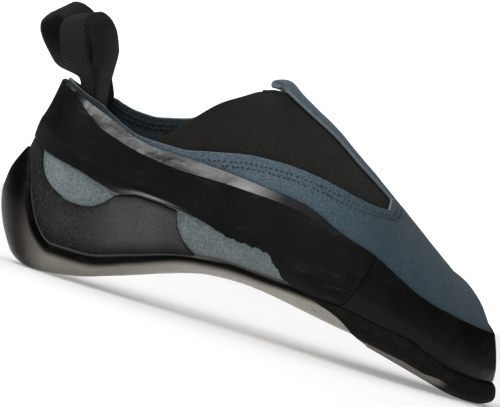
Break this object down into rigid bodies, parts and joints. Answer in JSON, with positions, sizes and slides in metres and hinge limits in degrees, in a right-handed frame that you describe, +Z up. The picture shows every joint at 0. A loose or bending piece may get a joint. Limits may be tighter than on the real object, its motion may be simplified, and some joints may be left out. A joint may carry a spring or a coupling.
{
  "type": "climbing shoe",
  "caption": "Slip-on climbing shoe for the right foot: downturned rubber sole, suede upper with elastic gores, rubber heel band and webbing pull loops",
  "frame": {"origin": "middle of the heel's flat rest spot, on the floor", "axes": "+X toward the toes, +Y toward the big toe side, +Z up"},
  "size_m": [0.2432, 0.0931, 0.1186],
  "materials": {
    "suede": "napped blue-grey suede",
    "elastic": "ribbed black elastic",
    "board": "matt lasting board",
    "heel_rubber": "smooth dark rubber with a soft sheen",
    "sole_rubber": "ground rubber edge, smooth underneath",
    "cup_rubber": "matt speckled rubber",
    "band_rubber": "smooth black rubber, lightly scuffed",
    "webbing": "ribbed black webbing"
  },
  "bodies": {
    "root": {"upper": "suede", "gore_lateral": "elastic", "gore_medial": "elastic", "insole": "board", "heel_sole": "heel_rubber", "forefoot_sole": "sole_rubber", "heel_cup": "cup_rubber", "tension_band": "band_rubber", "toe_rand": "band_rubber", "pull_loop_lateral": "webbing", "pull_loop_medial": "webbing"}
  },
  "joints": []
}
